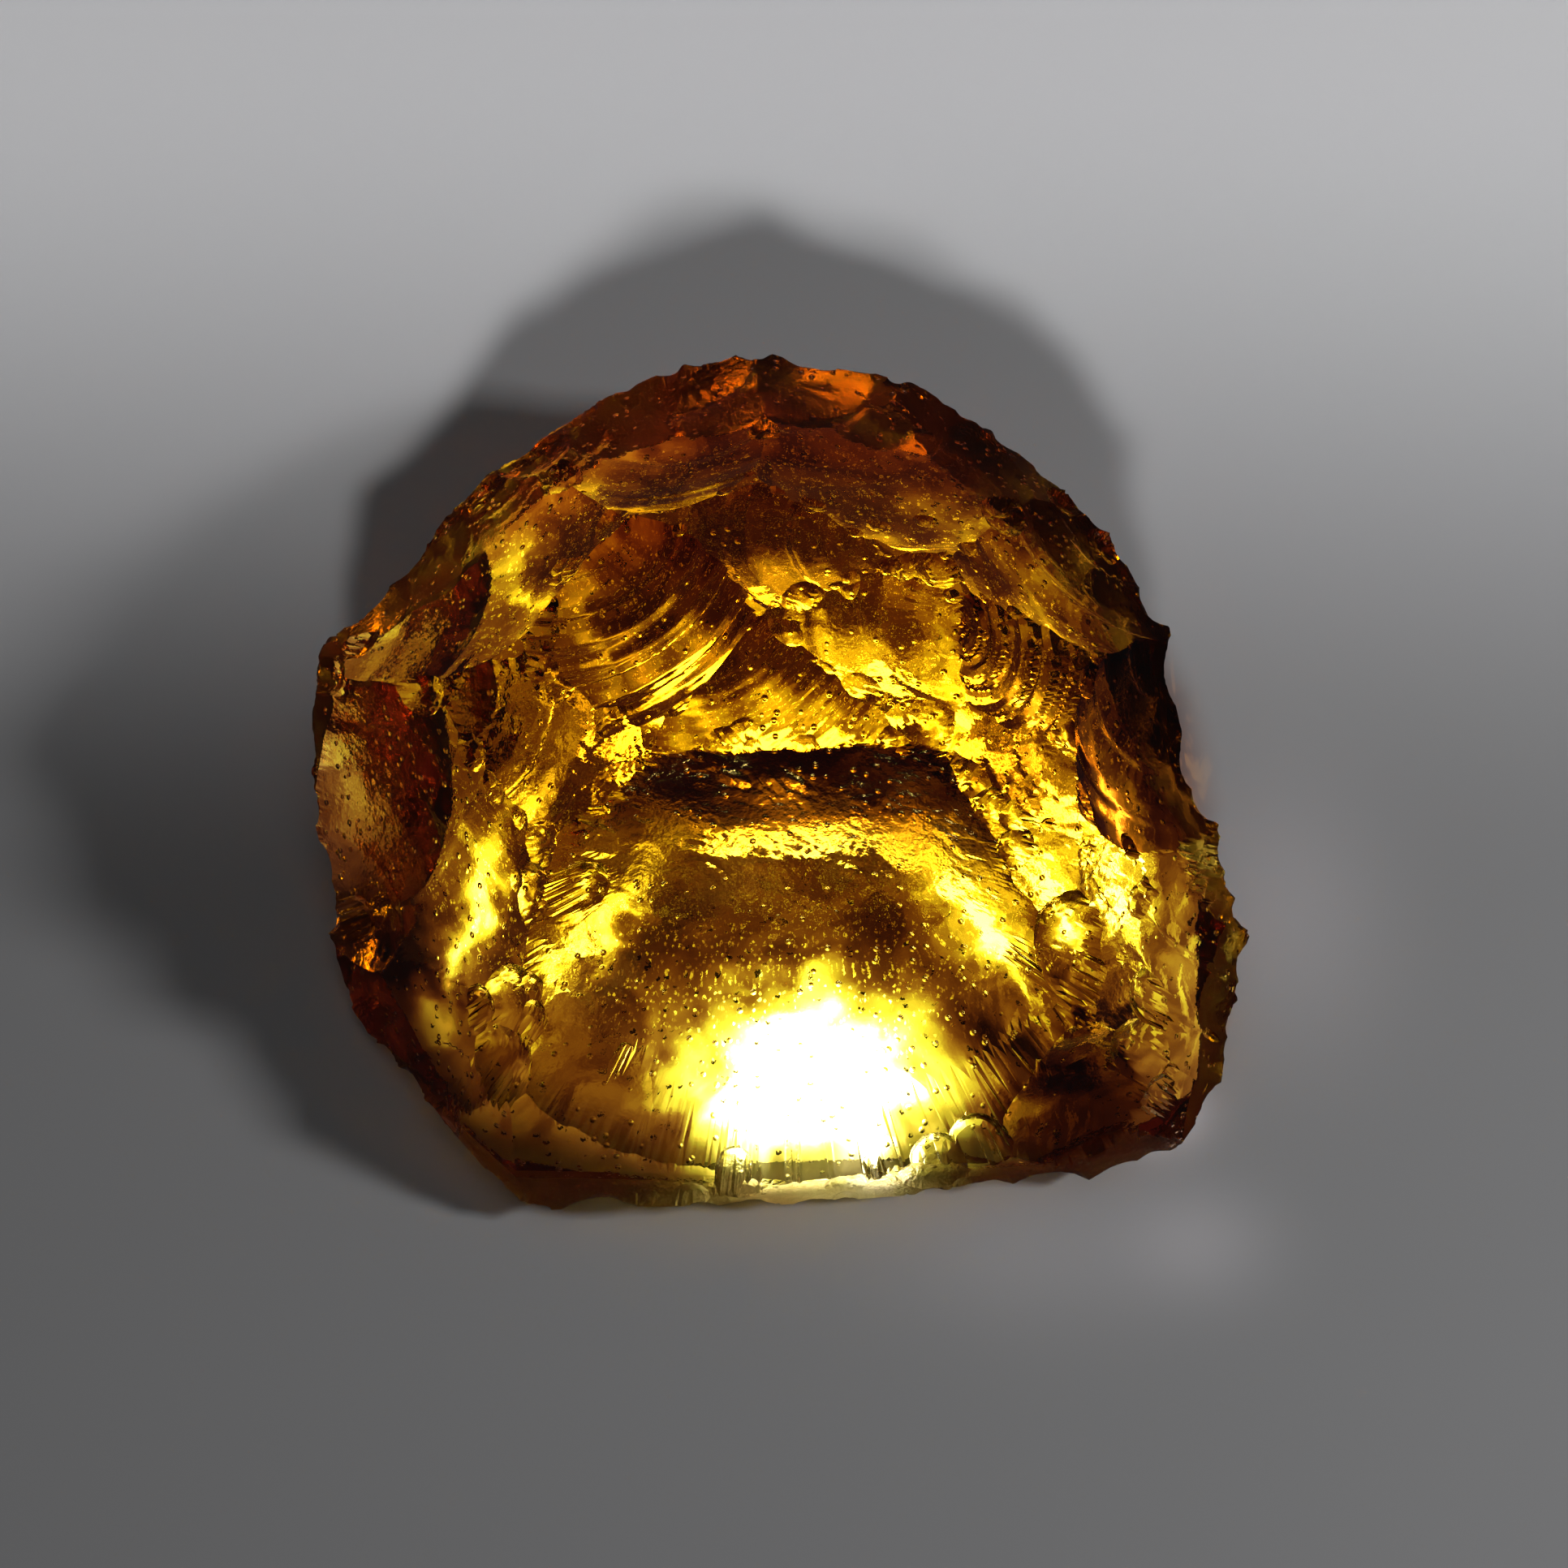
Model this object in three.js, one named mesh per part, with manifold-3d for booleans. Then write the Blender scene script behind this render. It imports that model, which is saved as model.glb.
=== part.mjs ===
// A rough topaz: one broken lump of clear golden crystal, lying on a flat cleavage face.
//
// The lump is worked the way a stone breaks. It starts as a block, the convex hull of its
// corners, and every flake that has come off took a shallow dish with it. A dish is a ball
// through three named corners of the stone, so two neighbouring dishes meet in a sharp
// ridge that runs through the corners they share. Shock waves left rings round the point
// where each flake was struck, and the ridges lost small chips.
//
// Millimetres, +Z up. The origin is the middle of the footprint, on the surface below.

import * as THREE from 'three';
import Module from 'manifold-3d';
import { ConvexGeometry } from 'three/addons/geometries/ConvexGeometry.js';
import { ConvexHull } from 'three/addons/math/ConvexHull.js';
import { mergeVertices } from 'three/addons/utils/BufferGeometryUtils.js';

// ---- material ----------------------------------------------------------------------

const TOPAZ_COLOUR = 0xc8800f;
const TOPAZ_ROUGHNESS = 0.06;
const TOPAZ_METALNESS = 0;

// ---- corners of the stone, in mm -----------------------------------------------------

// A point deep inside, which sees every spot of the surface.
const HEART = [0, -1.1, 6];

// The high middle of the stone, round the fan.
const TOP = {
  peak: [-0.7, 1.8, 15.6],
  crestLeft: [-4.5, -3.0, 14.6],
  crestRight: [5.4, -2.8, 15.0],
  crestEast: [7.0, 0.0, 14.2],
  northEast: [6.8, 2.7, 14.0],
  rippleHead: [6.4, 2.2, 14.0],
  rippleFoot: [7.1, -0.4, 13.6],
  scoopNorth: [8.4, 1.9, 13.4],
  domeFoot: [1.2, 5.8, 14.0],
  domeFootLeft: [-3.3, 7.1, 13.4],
  domeFootRight: [6.0, 6.5, 13.4],
  bowlNorth: [-5.2, 6.7, 13.4],
  bowlWest: [-9.1, 0.3, 12.8],
  shoulderTop: [-6.6, 4.9, 13.3],
  saddle: [-8.8, 8.4, 11.4],
  westKnee: [-12.7, 0.8, 11.0],
  elbow: [-10.4, -7.1, 11.2],
  shelf: [7.4, -2.0, 13.6],
  scoopHead: [10.6, -1.3, 11.8],
  armTop: [10.9, -5.2, 11.0],
};

// The slopes between the top and the rim.
const SLOPE = {
  ledge: [9.4, 9.0, 9.6],
  scoopRim: [14.7, 3.7, 8.6],
  scoopFoot: [12.9, -4.7, 8.6],
  flankTop: [13.3, -8.2, 6.6],
  armFoot: [11.0, -10.8, 8.6],
  wallMiddle: [-6.6, -6.9, 9.7],
  wallFoot: [-9.1, -9.0, 9.3],
  elbowFoot: [-10.5, -9.2, 9.4],
  westFoot: [-9.9, -12.8, 6.4],
  westCorner: [-12.6, -8.4, 5.1],
  leftCorner: [-12.2, -13.6, 2.9],
  lip: [1.5, -15.1, 3.2],
  lipLeft: [-3.3, -15.0, 3.6],
  lipRight: [7.7, -14.9, 4.7],
  frontRight: [12.7, -14.2, 2.6],
  backEdge: [1.3, 17.2, 6.4],
  shoulderLow: [-16.5, 5.0, 7.0],
  shoulderBack: [-11.4, 11.1, 7.6],
  backLeftLow: [-6.4, 15.0, 7.0],
};

// The widest line of the stone, seen from above, clockwise from the back.
const RIM = {
  back: [
    [-1.8, 17.1, 7.2], [1.6, 17.5, 6.3], [3.6, 17.0, 6.0], [5.5, 15.8, 6.1],
    [7.4, 14.4, 6.6], [8.8, 12.8, 7.0], [10.0, 11.0, 7.6], [11.1, 9.5, 8.0],
  ],
  right: [
    [13.8, 9.2, 7.4], [15.1, 3.8, 8.6], [17.4, -2.7, 4.9], [18.4, -4.3, 3.4],
    [18.3, -7.2, 2.4], [17.8, -9.7, 2.0], [16.7, -12.1, 1.8],
  ],
  front: [
    [15.3, -14.0, 1.2], [12.7, -15.3, 1.0], [9.0, -15.1, 1.0], [4.0, -15.6, 1.0],
    [-1.8, -15.7, 1.0], [-6.7, -16.8, 1.2], [-9.8, -16.5, 1.6],
  ],
  left: [
    [-11.6, -14.5, 2.2], [-13.3, -12.6, 2.2], [-15.2, -10.5, 2.0], [-17.0, -8.8, 1.1],
    [-17.6, -6.1, 1.8], [-18.1, -3.7, 2.6], [-18.0, -0.2, 4.9], [-17.7, 3.2, 7.8],
  ],
  shoulder: [
    [-17.4, 4.4, 6.9], [-15.4, 6.6, 6.8], [-13.6, 9.0, 6.9], [-11.7, 10.8, 7.5],
    [-9.5, 12.5, 7.2], [-6.8, 14.9, 7.0], [-3.9, 16.2, 6.9],
  ],
};

// The flat cleavage face that the stone lies on, seen from above, clockwise from the back.
const BASE = [
  [-3.3, 12.8, 0], [5.4, 11.4, 0], [11.0, 5.4, 0], [14.6, -2.6, 0], [15.0, -11.0, 0],
  [8.4, -14.0, 0], [-4.4, -14.4, 0], [-10.4, -13.0, 0], [-14.6, -6.6, 0],
  [-13.4, 3.4, 0], [-9.2, 9.2, 0],
];

// ---- flake scars ---------------------------------------------------------------------

const { back, right, front, left, shoulder } = RIM;

// A scar: the ball that it took, given by its radius and three corners it passes through,
// the point where the flake was struck, and the pitch and height of the rings round it.
function scar(corners, radius, struck, ringPitch, ringHeight) {
  return { corners, radius, struck, ringPitch, ringHeight };
}

const TOP_SCARS = [
  // the great basin that falls from the crest to the front lip
  scar([TOP.crestLeft, TOP.crestRight, SLOPE.lip], 19, TOP.peak, 3.6, 0.1),
  // the fan, a short steep face under the peak
  scar([TOP.crestLeft, TOP.crestRight, TOP.peak], 12, TOP.bowlNorth, 1.3, 0.14),
  // the dome at the back, and the hollow left of it
  scar([TOP.domeFoot, SLOPE.backEdge, SLOPE.ledge], 45, back[0], 4.5, 0.1),
  scar([TOP.bowlNorth, TOP.saddle, SLOPE.backLeftLow], 18, shoulder[6], 2.8, 0.12),
  // the smooth shoulder
  scar([SLOPE.shoulderLow, SLOPE.shoulderBack, TOP.shoulderTop], 28, shoulder[0], 3.2, 0.12),
  // the rippled bowl left of the peak
  scar([TOP.bowlWest, TOP.bowlNorth, TOP.peak], 10, TOP.saddle, 1.5, 0.18),
  // the broad left face
  scar([TOP.westKnee, left[7], SLOPE.westFoot], 44, left[7], 4.2, 0.12),
  // the slope right of the peak, and the band above both
  scar([TOP.peak, TOP.crestEast, TOP.northEast], 13, TOP.northEast, 1.8, 0.12),
  scar([TOP.domeFootLeft, TOP.domeFootRight, TOP.peak], 20, TOP.domeFootRight, 2.4, 0.12),
  // the ledge at the back right, and the small rippled dish below it
  scar([SLOPE.ledge, right[0], TOP.scoopNorth], 22, right[0], 2.6, 0.12),
  scar([TOP.rippleHead, TOP.scoopHead, TOP.rippleFoot], 8.5, TOP.rippleHead, 1.1, 0.14),
  // the scoop and the streaked flank on the right
  scar([SLOPE.scoopRim, TOP.scoopHead, SLOPE.scoopFoot], 10, SLOPE.scoopRim, 2.2, 0.1),
  scar([SLOPE.scoopFoot, SLOPE.flankTop, right[3]], 26, right[2], 2.4, 0.12),
  // the right arm of the basin, in three faces
  scar([TOP.crestRight, SLOPE.armFoot, TOP.armTop], 20, TOP.crestRight, 2.2, 0.12),
  scar([TOP.shelf, TOP.scoopHead, TOP.armTop], 16, TOP.scoopHead, 2.0, 0.12),
  scar([TOP.armTop, SLOPE.armFoot, SLOPE.flankTop], 20, TOP.armTop, 2.4, 0.1),
  // the left arm of the basin, and the dish behind it
  scar([TOP.crestLeft, SLOPE.wallMiddle, TOP.elbow], 22, TOP.crestLeft, 2.2, 0.12),
  scar([TOP.westKnee, TOP.crestLeft, TOP.elbow], 17, TOP.westKnee, 2.2, 0.12),
  // the dishes at the front corners and the left corner
  scar([SLOPE.wallFoot, SLOPE.westFoot, SLOPE.lipLeft], 16, SLOPE.westFoot, 2.4, 0.12),
  scar([SLOPE.armFoot, SLOPE.frontRight, SLOPE.lipRight], 13, SLOPE.armFoot, 2.4, 0.12),
  scar([SLOPE.westCorner, SLOPE.westFoot, SLOPE.leftCorner], 30, SLOPE.leftCorner, 2.8, 0.12),
];

// A point of the stone's side, part of the way from a rim corner down to a base corner.
function below(rimCorner, baseCorner, part) {
  return rimCorner.map((value, axis) => value + part * (baseCorner[axis] - value));
}

// The undercut sides: two rim corners, the base corner below them, how far down the side
// the scar begins, the ball's radius and the ring pitch.
const UNDERCUTS = [
  [shoulder[6], back[3], BASE[0], 0.3, 34, 4.4],
  [back[4], back[7], BASE[1], 0.22, 24, 3.8],
  [right[0], right[1], BASE[2], 0.22, 20, 3.4],
  [right[1], right[2], BASE[3], 0.0, 19, 3.2],
  [right[3], right[6], BASE[4], 0.3, 20, 3.4],
  [front[1], front[3], BASE[5], 0.4, 26, 3.4],
  [front[4], front[6], BASE[6], 0.4, 26, 3.4],
  [left[0], left[3], BASE[7], 0.22, 20, 3.2],
  [left[4], left[6], BASE[8], 0.3, 24, 4.0],
  [shoulder[0], shoulder[3], BASE[9], 0.22, 20, 3.6],
  [shoulder[3], shoulder[5], BASE[10], 0.22, 12, 3.0],
];
const UNDERCUT_RING_HEIGHT = 0.1;

const SIDE_SCARS = UNDERCUTS.map(([first, second, baseCorner, part, radius, ringPitch]) => {
  const corners = [below(first, baseCorner, part), below(second, baseCorner, part), baseCorner];
  return scar(corners, radius, first, ringPitch, UNDERCUT_RING_HEIGHT);
});

const SCARS = [...TOP_SCARS, ...SIDE_SCARS];

// The balls' facets: this many to one ring's pitch, and this wide along the widest ring.
const FACETS_PER_RING = 3;
const FACET_WIDTH = 4.5;
// The rings reach this far from the strike, or this many radii. Past them the ball is coarse.
const RING_REACH = 26;
const RING_REACH_IN_RADII = 2.2;
const FAR_STEPS = 6;
const MERGE_DISTANCE = 1e-4;
const SMALLEST_DETAIL = 0.03; // the solid drops vertices that move it by less than this

// ---- chips and pits ------------------------------------------------------------------

// Ridges that lost small chips: two corners near the ridge, and the number of chips.
const CHIPPED_RIDGES = [
  [TOP.crestLeft, TOP.crestRight, 3],
  [TOP.crestLeft, TOP.elbow, 4],
  [TOP.peak, TOP.crestRight, 3],
  [TOP.peak, TOP.northEast, 3],
  [TOP.crestRight, SLOPE.armFoot, 5],
  [TOP.bowlWest, TOP.bowlNorth, 3],
  [TOP.bowlWest, TOP.crestLeft, 3],
  [TOP.domeFoot, SLOPE.ledge, 4],
  [TOP.saddle, SLOPE.shoulderBack, 2],
  [TOP.westKnee, TOP.elbow, 3],
  [TOP.scoopHead, TOP.armTop, 2],
  [SLOPE.westFoot, SLOPE.elbowFoot, 3],
  [SLOPE.lipLeft, SLOPE.lipRight, 4],
  [SLOPE.armFoot, SLOPE.flankTop, 2],
];
// The chips are flat flakes: wide balls that cut in only a little.
const CHIP_RADII = [0.9, 2.8];
const CHIP_DEPTHS = [0.05, 0.2];
const CHIP_DETAIL = 2;
const RIM_CHIP_SPACING = 2.4;

// Round pits: a point near each, and its radius.
const PITS = [
  [[13.1, -4.4, 8.6], 0.5],
  [[10.4, -9.6, 9.2], 0.45],
  [[-6.0, -1.2, 14.0], 0.4],
];
const PIT_DEPTH = 0.27;

// How far the search for a ridge goes to either side, in steps of this angle.
const RIDGE_STEP = 0.01;
const RIDGE_STEPS = 16;

// A wave so fast that its fractions look scattered.
const SCATTER_STEP = 12.9898;
const SCATTER_SCALE = 43758.5453;

// ---- making the solid ----------------------------------------------------------------

const wasm = await Module();
wasm.setup();

function vector(corner) {
  return new THREE.Vector3(...corner);
}

// A closed geometry as a solid: shared vertices merged, and the flat slivers that a
// revolved profile has at its poles left out.
function solidOf(geometry) {
  const bare = geometry.clone();
  bare.deleteAttribute('normal');
  bare.deleteAttribute('uv');
  const merged = mergeVertices(bare, MERGE_DISTANCE);
  const index = merged.index.array;
  const triVerts = [];
  for (let i = 0; i < index.length; i += 3) {
    const [a, b, c] = index.slice(i, i + 3);
    if (a !== b && b !== c && c !== a) {
      triVerts.push(a, b, c);
    }
  }
  return new wasm.Manifold(new wasm.Mesh({
    numProp: 3,
    vertProperties: new Float32Array(merged.attributes.position.array),
    triVerts: new Uint32Array(triVerts),
  }));
}

// The middle of the ball of a given radius through three corners, on the far side from the
// stone's heart: up from the middle of the corners' circle, square to their plane.
function ballCentre(corners, radius) {
  const [p, q, r] = corners.map(vector);
  const a = q.clone().sub(p);
  const b = r.clone().sub(p);
  const normal = a.clone().cross(b);
  const toCircle = normal.clone().cross(a).multiplyScalar(b.lengthSq());
  toCircle.add(b.clone().cross(normal).multiplyScalar(a.lengthSq()));
  toCircle.divideScalar(2 * normal.lengthSq());
  const circleCentre = p.clone().add(toCircle);
  const rise = Math.sqrt(radius ** 2 - toCircle.lengthSq());
  normal.normalize();
  if (circleCentre.clone().sub(vector(HEART)).dot(normal) < 0) {
    normal.negate();
  }
  return circleCentre.addScaledVector(normal, rise);
}

// The ball of one flake, as a profile revolved about the axis through the struck point.
// Near that point it carries the rings, a cosine wave along the profile.
function flakeBall({ corners, radius, struck, ringPitch, ringHeight }) {
  const centre = ballCentre(corners, radius);
  const pole = vector(struck).sub(centre).normalize();
  const step = ringPitch / FACETS_PER_RING;
  const ringSteps = Math.round(Math.min(RING_REACH, RING_REACH_IN_RADII * radius) / step);
  const lastAngle = (ringSteps * step) / radius;
  const profile = [new THREE.Vector2(0, radius)];
  for (let i = 1; i <= ringSteps; i += 1) {
    const along = i * step;
    const wave = (1 - Math.cos((2 * Math.PI * along) / ringPitch)) / 2;
    const reach = radius - ringHeight * wave;
    const angle = along / radius;
    profile.push(new THREE.Vector2(reach * Math.sin(angle), reach * Math.cos(angle)));
  }
  for (let i = 1; i < FAR_STEPS; i += 1) {
    const angle = lastAngle + ((Math.PI - lastAngle) * i) / FAR_STEPS;
    profile.push(new THREE.Vector2(radius * Math.sin(angle), radius * Math.cos(angle)));
  }
  profile.push(new THREE.Vector2(0, -radius));
  const widest = radius * Math.sin(Math.min(lastAngle, Math.PI / 2));
  const sides = Math.round((2 * Math.PI * widest) / FACET_WIDTH);
  const ball = new THREE.LatheGeometry(profile.reverse(), sides);
  const upright = new THREE.Vector3(0, 1, 0);
  ball.applyQuaternion(new THREE.Quaternion().setFromUnitVectors(upright, pole));
  ball.translate(centre.x, centre.y, centre.z);
  return ball;
}

const cornersOfBlock = [
  ...Object.values(TOP),
  ...Object.values(SLOPE),
  ...Object.values(RIM).flat(),
  ...BASE,
].map(vector);

const blockFaces = new ConvexHull().setFromPoints(cornersOfBlock).faces;
const balls = SCARS.map(({ corners, radius }) => ({ centre: ballCentre(corners, radius), radius }));

// The way from the heart to the surface along a direction: to the block's nearest face, or
// to the nearest ball that stands before it. The owner is that face or ball.
function surfaceAlong(direction) {
  const heart = vector(HEART);
  let depth = Infinity;
  let owner = null;
  for (const face of blockFaces) {
    const slope = face.normal.dot(direction);
    const reach = (face.constant - face.normal.dot(heart)) / slope;
    if (slope > 0 && reach < depth) {
      depth = reach;
      owner = face;
    }
  }
  for (const ball of balls) {
    const toHeart = heart.clone().sub(ball.centre);
    const half = toHeart.dot(direction);
    const inside = half ** 2 - toHeart.lengthSq() + ball.radius ** 2;
    const reach = -half - Math.sqrt(inside);
    if (inside > 0 && half < 0 && reach < depth) {
      depth = reach;
      owner = ball;
    }
  }
  return { depth, owner };
}

// The direction of the ridge nearest to a point, found by looking to either side of a line.
function ridgeNear(point, along) {
  const middle = point.clone().sub(vector(HEART)).normalize();
  const sideways = middle.clone().cross(along).normalize();
  const { owner } = surfaceAlong(middle);
  for (let step = 1; step <= RIDGE_STEPS; step += 1) {
    for (const side of [step, -step]) {
      const aim = middle.clone().addScaledVector(sideways, side * RIDGE_STEP).normalize();
      if (surfaceAlong(aim).owner !== owner) {
        return aim;
      }
    }
  }
  return middle;
}

// A ball that cuts into the surface to a given depth, in a direction from the heart.
function chipBall(direction, radius, depth) {
  const reach = surfaceAlong(direction).depth + radius - depth;
  const chip = new THREE.IcosahedronGeometry(radius, CHIP_DETAIL);
  const place = vector(HEART).addScaledVector(direction, reach);
  chip.translate(place.x, place.y, place.z);
  return chip;
}

// A number between 0 and 1 that jumps about from one seed to the next.
function scatter(seed) {
  const wave = SCATTER_SCALE * Math.sin(SCATTER_STEP * seed);
  return wave - Math.floor(wave);
}

// The chips along one ridge, unevenly spaced and of differing size.
function ridgeChips([from, to, count], ridge) {
  const chips = [];
  const along = vector(to).sub(vector(from));
  for (let i = 0; i < count; i += 1) {
    const seed = 10 * ridge + i + 1;
    const part = (i + scatter(seed)) / count;
    const point = vector(from).addScaledVector(along, part);
    const size = scatter(seed + 0.5) ** 2; // most are small
    const radius = THREE.MathUtils.lerp(...CHIP_RADII, size);
    const depth = THREE.MathUtils.lerp(...CHIP_DEPTHS, size);
    chips.push(chipBall(ridgeNear(point, along), radius, depth));
  }
  return chips;
}

// The rim is chipped all the way round, more often where it is longer.
const rimCorners = Object.values(RIM).flat();
const rimRidges = rimCorners.map((corner, i) => {
  const next = rimCorners[(i + 1) % rimCorners.length];
  const count = Math.round(vector(corner).distanceTo(vector(next)) / RIM_CHIP_SPACING);
  return [corner, next, count];
});

function rawStone() {
  const tools = [
    ...SCARS.map(flakeBall),
    ...[...CHIPPED_RIDGES, ...rimRidges].flatMap(ridgeChips),
    ...PITS.map(([point, radius]) => {
      const direction = vector(point).sub(vector(HEART)).normalize();
      return chipBall(direction, radius, PIT_DEPTH);
    }),
  ];
  let stone = solidOf(new ConvexGeometry(cornersOfBlock));
  for (const tool of tools) {
    stone = stone.subtract(solidOf(tool));
  }
  return stone.simplify(SMALLEST_DETAIL);
}

// ---- the model -----------------------------------------------------------------------

function topaz() {
  const { vertProperties, triVerts } = rawStone().getMesh();
  const geometry = new THREE.BufferGeometry();
  geometry.setAttribute('position', new THREE.BufferAttribute(vertProperties, 3));
  geometry.setIndex(new THREE.BufferAttribute(triVerts, 1));
  geometry.computeVertexNormals();
  const material = new THREE.MeshStandardMaterial({
    color: TOPAZ_COLOUR,
    roughness: TOPAZ_ROUGHNESS,
    metalness: TOPAZ_METALNESS,
  });
  const mesh = new THREE.Mesh(geometry, material);
  mesh.name = 'topaz';
  return mesh;
}

const model = new THREE.Group();
model.add(topaz());

export default model;
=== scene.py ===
# %% [markdown]
# # A rough topaz
# One broken lump of clear golden crystal, lying on a flat cleavage face. A struck flake
# leaves a shallow dish, so the whole stone can be worked out as a block with balls taken
# out of it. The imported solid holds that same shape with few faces. Here it is worked out
# again as one fine surface, with its rings, hackles and chips, and then it gets its glass,
# its light and its camera.

import bmesh
import bpy
import numpy as np
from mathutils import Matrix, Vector


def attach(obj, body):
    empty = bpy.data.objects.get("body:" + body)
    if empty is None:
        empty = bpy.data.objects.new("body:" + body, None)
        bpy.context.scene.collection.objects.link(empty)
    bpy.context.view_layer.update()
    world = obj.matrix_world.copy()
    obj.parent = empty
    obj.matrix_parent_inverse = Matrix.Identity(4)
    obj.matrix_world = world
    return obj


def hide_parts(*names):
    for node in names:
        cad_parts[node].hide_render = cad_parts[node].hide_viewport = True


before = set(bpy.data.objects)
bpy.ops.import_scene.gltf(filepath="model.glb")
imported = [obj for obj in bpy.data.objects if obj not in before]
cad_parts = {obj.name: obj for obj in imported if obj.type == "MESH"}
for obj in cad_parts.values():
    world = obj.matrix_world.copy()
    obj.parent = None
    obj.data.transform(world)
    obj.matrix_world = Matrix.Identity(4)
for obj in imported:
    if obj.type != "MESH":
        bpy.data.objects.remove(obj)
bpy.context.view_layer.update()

MM = 0.001  # the stone is worked out in millimetres and placed in metres

# %% [markdown]
# ## The corners of the stone
# Corners are the only sizes that are given one by one. A broken stone has no straight sides
# to measure, but its ridges meet in corners that can be told apart. They are named in
# millimetres, in the same frame as the imported solid.

# %% Corners
HEART = np.array([0, -1.1, 6])  # a point inside that sees the whole surface

TOP = dict(
    peak=[-0.7, 1.8, 15.6],
    crest_left=[-4.5, -3.0, 14.6],
    crest_right=[5.4, -2.8, 15.0],
    crest_east=[7.0, 0.0, 14.2],
    north_east=[6.8, 2.7, 14.0],
    ripple_head=[6.4, 2.2, 14.0],
    ripple_foot=[7.1, -0.4, 13.6],
    scoop_north=[8.4, 1.9, 13.4],
    dome_foot=[1.2, 5.8, 14.0],
    dome_foot_left=[-3.3, 7.1, 13.4],
    dome_foot_right=[6.0, 6.5, 13.4],
    bowl_north=[-5.2, 6.7, 13.4],
    bowl_west=[-9.1, 0.3, 12.8],
    shoulder_top=[-6.6, 4.9, 13.3],
    saddle=[-8.8, 8.4, 11.4],
    west_knee=[-12.7, 0.8, 11.0],
    elbow=[-10.4, -7.1, 11.2],
    shelf=[7.4, -2.0, 13.6],
    scoop_head=[10.6, -1.3, 11.8],
    arm_top=[10.9, -5.2, 11.0],
)
SLOPE = dict(
    ledge=[9.4, 9.0, 9.6],
    scoop_rim=[14.7, 3.7, 8.6],
    scoop_foot=[12.9, -4.7, 8.6],
    flank_top=[13.3, -8.2, 6.6],
    arm_foot=[11.0, -10.8, 8.6],
    wall_middle=[-6.6, -6.9, 9.7],
    wall_foot=[-9.1, -9.0, 9.3],
    elbow_foot=[-10.5, -9.2, 9.4],
    west_foot=[-9.9, -12.8, 6.4],
    west_corner=[-12.6, -8.4, 5.1],
    left_corner=[-12.2, -13.6, 2.9],
    lip=[1.5, -15.1, 3.2],
    lip_left=[-3.3, -15.0, 3.6],
    lip_right=[7.7, -14.9, 4.7],
    front_right=[12.7, -14.2, 2.6],
    back_edge=[1.3, 17.2, 6.4],
    shoulder_low=[-16.5, 5.0, 7.0],
    shoulder_back=[-11.4, 11.1, 7.6],
    back_left_low=[-6.4, 15.0, 7.0],
)
# The rim is the widest line of the stone, clockwise from the back as seen from above.
RIM = dict(
    back=[
        [-1.8, 17.1, 7.2], [1.6, 17.5, 6.3], [3.6, 17.0, 6.0], [5.5, 15.8, 6.1],
        [7.4, 14.4, 6.6], [8.8, 12.8, 7.0], [10.0, 11.0, 7.6], [11.1, 9.5, 8.0],
    ],
    right=[
        [13.8, 9.2, 7.4], [15.1, 3.8, 8.6], [17.4, -2.7, 4.9], [18.4, -4.3, 3.4],
        [18.3, -7.2, 2.4], [17.8, -9.7, 2.0], [16.7, -12.1, 1.8],
    ],
    front=[
        [15.3, -14.0, 1.2], [12.7, -15.3, 1.0], [9.0, -15.1, 1.0], [4.0, -15.6, 1.0],
        [-1.8, -15.7, 1.0], [-6.7, -16.8, 1.2], [-9.8, -16.5, 1.6],
    ],
    left=[
        [-11.6, -14.5, 2.2], [-13.3, -12.6, 2.2], [-15.2, -10.5, 2.0], [-17.0, -8.8, 1.1],
        [-17.6, -6.1, 1.8], [-18.1, -3.7, 2.6], [-18.0, -0.2, 4.9], [-17.7, 3.2, 7.8],
    ],
    shoulder=[
        [-17.4, 4.4, 6.9], [-15.4, 6.6, 6.8], [-13.6, 9.0, 6.9], [-11.7, 10.8, 7.5],
        [-9.5, 12.5, 7.2], [-6.8, 14.9, 7.0], [-3.9, 16.2, 6.9],
    ],
)
# The flat cleavage face below, clockwise from the back.
BASE = [
    [-3.3, 12.8, 0], [5.4, 11.4, 0], [11.0, 5.4, 0], [14.6, -2.6, 0], [15.0, -11.0, 0],
    [8.4, -14.0, 0], [-4.4, -14.4, 0], [-10.4, -13.0, 0], [-14.6, -6.6, 0],
    [-13.4, 3.4, 0], [-9.2, 9.2, 0],
]
for group in (TOP, SLOPE, RIM):
    for name, corner in group.items():
        group[name] = np.array(corner, float)
BASE = np.array(BASE, float)
rim = np.concatenate(list(RIM.values()))
corners = np.concatenate([list(TOP.values()), list(SLOPE.values()), rim, BASE])
print(len(corners), "corners, from", corners.min(0), "to", corners.max(0), "mm")

# %% [markdown]
# ## The block
# The block is the convex hull of the corners: the tightest wrapping that has no dents.
# Blender finds the hull's faces. Only their planes are kept, as a normal and a distance,
# because a plane is all that a ray needs to meet.

# %% The block's planes
def hull_planes(points):
    """The planes of the hull: each face's outward normal, and its distance along it."""
    hull = bmesh.new()
    for point in points:
        hull.verts.new(point)
    bmesh.ops.convex_hull(hull, input=hull.verts)
    normals = np.array([face.normal for face in hull.faces])
    places = np.array([face.verts[0].co for face in hull.faces])
    hull.free()
    away = np.sum(normals * (places - points.mean(0)), axis=1) > 0
    normals[~away] *= -1
    return normals, np.sum(normals * places, axis=1)


block_normals, block_distances = hull_planes(corners)
print(len(block_normals), "faces of the block")

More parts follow.
